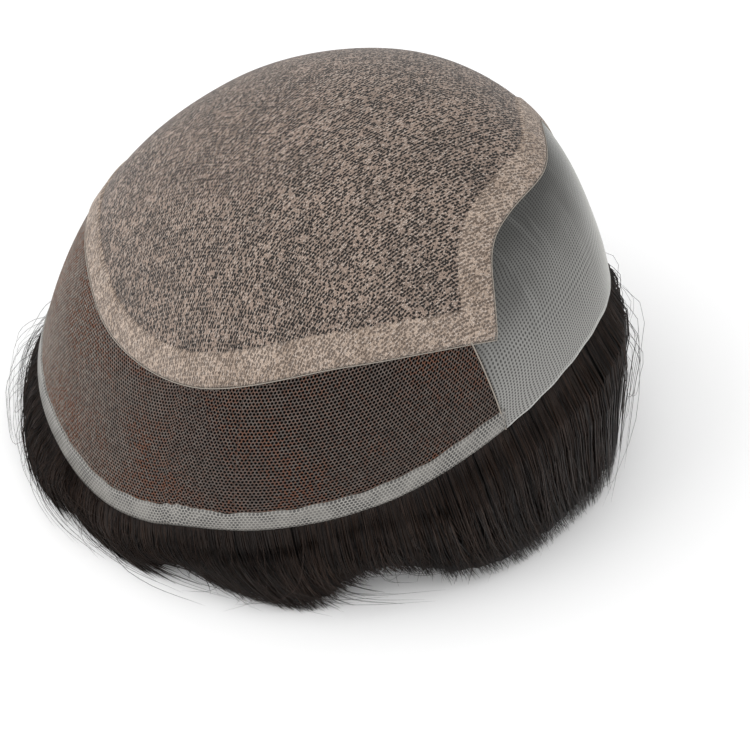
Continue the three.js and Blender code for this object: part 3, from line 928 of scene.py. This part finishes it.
# How the hair falls from each angle of the rim: the angle its tip reaches, how far it stands out
# at its belly and at its tip, its tip's height, and how far it dips below that height on the way.
FALL_ROWS = [
    (-38, -46, 5.0, 3.0, 2, 0), (-25, -32, 6.2, 4.5, 0, 0), (-13, -19, 3.6, 3.0, 0, 0),
    (0, -6, 4.8, 4.0, 1, 0), (12, 4, 4.5, 4.0, 0, 0), (24, 14, 4.0, 3.5, 1, 0),
    (38, 27, 3.5, 3.0, 0, 0), (50, 41, 3.5, 2.5, 3, 0), (60, 54, 2.2, 0.6, 9, 3),
    (66, 61, 1.6, 0.2, 9, 3), (74, 68, 1.8, 0.8, 4, 2), (79, 71, 2.2, 2.2, 0, 0),
    (86, 74.5, 2.6, 3.2, 0, 0), (93, 79, 2.4, 2.4, 0, 0), (100, 86, 2.0, 1.0, 0, 0),
    (105, 93, 1.8, 0.6, 1.5, 0), (109, 98, 1.6, 0.2, 4, 1), (113, 103, 1.6, 0.0, 9, 4),
    (117, 106, 2.0, 0.6, 7, 4), (122, 110, 2.6, 2.4, 1, 1), (128, 113.5, 3.6, 3.4, 0, 0),
    (133, 119, 4.0, 4.0, 0, 0), (137, 125, 4.0, 4.0, 0, 0), (141, 131, 4.2, 3.0, 5, 0),
    (146, 136, 4.8, 4.8, 0, 0), (155, 144, 4.8, 5.2, 0, 0), (164, 152, 3.4, 4.4, 1, 0),
    (178, 163, 2.2, 3.0, 1, 0), (194, 178, 2.5, 3.0, 0, 0), (210, 192, 3.5, 2.5, 3, 1),
    (226, 208, 4.0, 3.5, 0, 0), (242, 226, 3.8, 3.0, 2, 0), (258, 243, 4.0, 3.5, 0, 0),
    (274, 261, 3.5, 1.5, 4, 2), (290, 279, 3.8, 3.2, 0, 0), (306, 297, 3.5, 2.5, 3, 1),
]
FALL = np.concatenate([
    np.array(FALL_ROWS, float) + (whole_turn, whole_turn, 0, 0, 0, 0)
    for whole_turn in (-360, 0, 360)
])
FALL_SHARES = (0.0, 0.18, 0.4, 0.66, 1.0)
FALL_POWER = 1.35
ROOT_DOWN = 3.0
ROOT_DEPTH = 3.4
ROOT_LENGTH = 4.0
RIM_INSET = 1.3
RIM_DROP = 1.6
RIM_MM_PER_DEGREE = 1.44
BELLY_REACH = 13.0
BELLY_SHARE = 0.25
LOWEST_LINE = 0.25


def hair_line(root, lift, gather=None, pinch=0.0, wander=0.0, samples=10, reach=1.0):
    """Lines of hair from angles of the rim to their tips, or to a reach short of them. Lift
    holds a hair off the others, wander turns its tip aside in degrees, and gather and pinch
    draw its tip towards that of another angle."""
    root = np.asarray(root, float)
    gather = root if gather is None else gather
    points = [sunk(root, rim_down(root) - ROOT_DOWN, ROOT_DEPTH)]
    rim = rim_point(root)
    for share in FALL_SHARES:
        share = share * reach
        at = root + (gather - root) * pinch * share**1.5
        tip, belly, out, height, dip = (
            np.interp(at, FALL[:, 0], column) for column in FALL[:, 1:].T
        )
        around = at + (tip - at) * share**1.1 + wander * share**2
        length = np.hypot(rim[:, 2], RIM_MM_PER_DEGREE * (tip - root)) + ROOT_LENGTH
        near = np.clip(1 - share * length / BELLY_REACH, 0, 1) ** 2
        late = np.clip((share - BELLY_SHARE) / (1 - BELLY_SHARE), 0, 1)
        late = late * late * (3 - 2 * late)
        stand = (belly * (1 - late) + lift) * (1 - near) + out * late - RIM_INSET * near
        fall = 1 - max(1 - share, 0) ** FALL_POWER
        z = (rim[:, 2] - RIM_DROP) * (1 - fall) + height * fall - dip * np.sin(math.pi * share)
        place = rim_point(around) + rim_outward(around) * stand[:, None]
        place[:, 2] = np.maximum(z, LOWEST_LINE)
        points.append(place)
    return smooth_lines(np.stack(points, 1), samples)


# Locks: first and last angle of each lock's roots, and how far it stands off the ones beside it
LOCKS = [
    (-2, 20, 0.6), (14, 36, -0.2), (30, 56, 0.5), (50, 78, -0.3), (72, 112, 0.6),
    (107, 137, 0.2), (133, 172, 0.7), (165, 198, -0.1), (192, 222, 0.6), (216, 246, -0.1),
    (240, 268, 0.6), (262, 292, 0.0), (286, 314, 0.6), (308, 332, -0.2), (326, 346, 0.5),
    (340, 362, -0.1),
]
LOCK_CROWN = 2.0
LOCK_TUCK = 1.5
LOCK_DEPTH = 1.15
LOCK_REACH = 0.95
LOCK_PINCH = 0.25
LOCK_TIPS = 5
TIP_SHARE = 0.8
TIP_THINNING = 1.5
SKIRT_LIFT = -3.2
SKIRT_REACH = 0.94
HAIR_WALL = 1.6
COMB_LENGTH = 40


def lock_lift(share, height):
    """How far a lock stands off at a share of its width: round over the middle, tucked in at
    its edges."""
    return height - LOCK_TUCK + LOCK_CROWN * np.sin(math.pi * np.clip(share, 0, 1)) ** 0.6


def hair_sheet(name, columns, rows, lines_at, comb_width, comb_start=0):
    """A combed sheet of hair whose lines hang at shares of its width. Its wall ends on the
    surface that the hair stands on."""
    mesh, turn, across = flat_grid(columns, rows)
    lines = lines_at(np.linspace(0, 1, columns + 1), rows + 1)
    lines[..., 2] = np.maximum(lines[..., 2], HAIR_WALL)
    column, row = np.rint(turn * columns).astype(int), np.rint(across * rows).astype(int)
    cloth = np.stack([turn * comb_width + comb_start, across * COMB_LENGTH], -1)
    lay_piece(
        mesh, lines[column, row], cloth, HAIR_WALL, name, HAIR_MASS, "hair", even=False
    )


def skirt_lines(share, samples):
    """Base of the hair: a closed skirt under every lock, so that nothing shows between them."""
    return hair_line(
        share * 360, np.full(len(share), SKIRT_LIFT), samples=samples, reach=SKIRT_REACH
    )


hair_sheet("hair_skirt", 240, 10, skirt_lines, comb_width=480)

for index, (first, last, height) in enumerate(LOCKS):
    width = last - first

    def lock_lines(share, samples):
        """A grooved lock that splits into a few tips and thins out towards them."""
        around = first + share * width
        groove = 0.22 * np.sin(share * 31 + index) + 0.16 * np.sin(share * 67 + 2 * index)
        lift = lock_lift(share, height) - LOCK_DEPTH + groove
        gather = (first + last) / 2 + (np.rint(share * LOCK_TIPS) / LOCK_TIPS - 0.5) * width * 0.9
        lines = hair_line(around, lift, gather, LOCK_PINCH, samples=samples, reach=LOCK_REACH)
        end = np.clip((np.linspace(0, 1, samples) - TIP_SHARE) / (1 - TIP_SHARE), 0, 1)
        return lines - rim_outward(around)[:, None] * end[None, :, None] * TIP_THINNING

    hair_sheet(
        f"hair_lock_{index + 1:02d}", 40, 16, lock_lines, comb_width=width * 1.3,
        comb_start=index * 50,
    )

# Lining: the hair that lies under the base
LINING_TURNS, LINING_RINGS = 120, 36
mesh, around, share = flat_disc(LINING_TURNS, LINING_RINGS)
down = share * (rim_down(around) - 2)
combed = np.sin(np.radians(around) * 90 + 3 * np.sin(down * 0.1))
comb_depth = 0.25 * combed * np.clip(share * 3, 0, 1)
lay_piece(
    mesh, sunk(around, down, LINING_DEPTH + comb_depth), silk_cloth(around, down),
    LINING_WALL - 0.5, "hair_under_base", HAIR_MASS, "hair",
)

# Strands over the locks. Real hair is about 0.08 thick, and the strands are drawn thicker, as
# small bundles of it, so that they show and stay within the count of triangles.
STRAND_RINGS = 8
STRAND_SIDES = 3
STRAND_TAPER = np.array([0.7, 1.0, 1.0, 1.0, 1.0, 1.0, 0.95, 0.85, 0.6, 0.15])
STRANDS_PER_DEGREE = 13.5
STRAND_RADIUS = 0.17
STRAND_PINCH = 0.55
STRAND_WANDER = 1.2
STRAND_SETS = 4
RAISED_SHARE, RAISED_LIFT = 0.06, 1.2
LOOSE_SHARE, LOOSE_WANDER = 0.18, 4.0
CLUMP_ANGLE = 3
SHORTEST, LONGEST, REACH_STEPS = 0.86, 1.04, 6
STRAND_LOWEST = 0.02


def rod(sides, rings):
    """A closed rod of unit radius along z from 0 to 1, with its rings, and its places."""
    bm = bmesh.new()
    bmesh.ops.create_cone(bm, cap_ends=True, segments=sides, radius1=1, radius2=1, depth=1)
    lengthwise = [
        edge for edge in bm.edges if abs(edge.verts[0].co.z - edge.verts[1].co.z) > 0.5
    ]
    bmesh.ops.subdivide_edges(bm, edges=lengthwise, cuts=rings - 2)
    bmesh.ops.translate(bm, verts=bm.verts, vec=(0, 0, 0.5))
    mesh = mesh_of(bm, "rod")
    return mesh, vertex_places(mesh)


def strand_piece(name, lines, radii):
    """One joined mesh of thin closed strands along the given lines."""
    rings = lines.shape[1]
    mesh, places = rod(STRAND_SIDES, rings)
    mesh = copied(mesh, (len(lines), (1, 0, 0)))
    ring = np.rint(places[:, 2] * (rings - 1)).astype(int)
    taper = np.interp(
        np.linspace(0, 1, rings), np.linspace(0, 1, len(STRAND_TAPER)), STRAND_TAPER
    )
    tangents = unit(np.gradient(lines, axis=1))
    level = unit(np.cross(tangents, np.array([0.31, 0.17, 1.0])))
    other = np.cross(tangents, level)
    width = radii[:, None] * taper[None, ring]
    points = lines[:, ring] + level[:, ring] * (width * places[None, :, 0])[..., None]
    points += other[:, ring] * (width * places[None, :, 1])[..., None]
    points[..., 2] = np.maximum(points[..., 2], STRAND_LOWEST)
    place_vertices(mesh, points.reshape(-1, 3))
    finish_piece(mesh, name, HAIR, "hair")


strand_sets = []
reach_step = (LONGEST - SHORTEST) / REACH_STEPS
for first, last, height in LOCKS:
    width = last - first
    count = int(width * STRANDS_PER_DEGREE)
    share = rng.uniform(0, 1, count)
    clumps = max(4, int(width / CLUMP_ANGLE))
    gather = first + (np.floor(share * clumps) + rng.uniform(0.3, 0.7, count)) / clumps * width
    lift = lock_lift(share, height) + rng.uniform(-0.5, 0.7, count)
    lift += (rng.random(count) < RAISED_SHARE) * RAISED_LIFT
    wander = rng.normal(0, STRAND_WANDER, count)
    wander *= np.where(rng.random(count) < LOOSE_SHARE, LOOSE_WANDER, 1.0)
    reach = rng.uniform(SHORTEST, LONGEST, count)
    lines = np.empty((count, STRAND_RINGS, 3))
    for level in range(REACH_STEPS):
        chosen = np.floor((reach - SHORTEST) / reach_step) == level
        if chosen.any():
            lines[chosen] = hair_line(
                first + share[chosen] * width, lift[chosen], gather[chosen], STRAND_PINCH,
                wander[chosen], STRAND_RINGS, SHORTEST + level * reach_step,
            )
    strand_sets.append((lines, STRAND_RADIUS * rng.uniform(0.7, 1.25, count)))

per_piece = len(LOCKS) // STRAND_SETS
for part in range(STRAND_SETS):
    chosen = strand_sets[part * per_piece:(part + 1) * per_piece]
    strand_piece(
        f"hair_strands_{part + 1}", np.concatenate([lines for lines, _ in chosen]),
        np.concatenate([radii for _, radii in chosen]),
    )

# Fly-away hairs: finer, and standing well off the locks, more of them over the sides and back
FLYAWAYS = 400
FLYAWAY_RINGS = 13
FLYAWAY_RADIUS = 0.06
FLYAWAY_LIFT = 7
FLYAWAY_RISE = 8
FLYAWAY_WANDER = 10
VISIBLE_SHARE = 0.6
root = np.where(
    rng.random(FLYAWAYS) < VISIBLE_SHARE,
    rng.uniform(55, 185, FLYAWAYS),
    rng.uniform(185, 415, FLYAWAYS),
)
lift = rng.uniform(0.3, 1.0, FLYAWAYS) ** 2 * FLYAWAY_LIFT
lines = hair_line(
    root, lift, wander=rng.normal(0, FLYAWAY_WANDER, FLYAWAYS), samples=FLYAWAY_RINGS
)
rise = rng.uniform(0, FLYAWAY_RISE, FLYAWAYS)[:, None]
lines[..., 2] += rise * np.linspace(0, 1, FLYAWAY_RINGS)[None] ** 2
strand_piece("hair_flyaways", lines, FLYAWAY_RADIUS * rng.uniform(0.7, 1.4, FLYAWAYS))

# Camera
turn, rise = math.radians(CAMERA_TURN), math.radians(CAMERA_RISE)
back = Vector((math.sin(turn) * math.cos(rise), -math.cos(turn) * math.cos(rise), math.sin(rise)))
right = Vector((math.cos(turn), math.sin(turn), 0))
up = back.cross(right)
middle = Vector(place_shift) + Vector((0, 0, STANDING_HEIGHT))
aim = right * (FRAME_PIXELS / 2 - AXIS_RIGHT) - up * (FRAME_PIXELS / 2 - AXIS_DOWN)
aim = (aim - back * FOCAL_PIXELS).normalized()
level = (right - aim * right.dot(aim)).normalized()
camera_data = bpy.data.cameras.new("camera")
camera_data.sensor_width = SENSOR_WIDTH
camera_data.lens = FOCAL_PIXELS * SENSOR_WIDTH / FRAME_PIXELS
camera_data.clip_end = 20
camera = shown("camera", camera_data)
axes = Matrix((level, level.cross(aim), -aim)).transposed().to_4x4()
axes.translation = (middle + back * CAMERA_DISTANCE) * METRES
camera.matrix_world = axes
bpy.context.scene.camera = camera

# Floor and light; from here on, lengths are in metres and powers in watts
FLOOR_HALF = 4
SKY_STRENGTH = 1.06
LIGHT_AIM = Vector((0, 0, 0.05))
bm = bmesh.new()
bmesh.ops.create_grid(bm, x_segments=1, y_segments=1, size=FLOOR_HALF)
floor = shown("floor", mesh_of(bm, "floor"))
floor.data.materials.append(floor_material())

world = bpy.data.worlds.new("studio")
bpy.context.scene.world = world
world.use_nodes = True
world.node_tree.nodes["Background"].inputs[0].default_value = linear("#ffffff")
world.node_tree.nodes["Background"].inputs[1].default_value = SKY_STRENGTH

for name, place, size, power in (
    ("key", (-0.8, 1.6, 1.5), 2.4, 19),
    ("fill", (-1.9, -0.1, 0.9), 1.4, 5),
):
    light = bpy.data.lights.new(name, "AREA")
    light.shape = "DISK"
    light.size = size
    light.energy = power
    softbox = shown(name, light)
    softbox.location = place
    softbox.rotation_mode = "QUATERNION"
    softbox.rotation_quaternion = (LIGHT_AIM - Vector(place)).to_track_quat("-Z", "Y")
bpy.context.scene.view_settings.view_transform = "Standard"
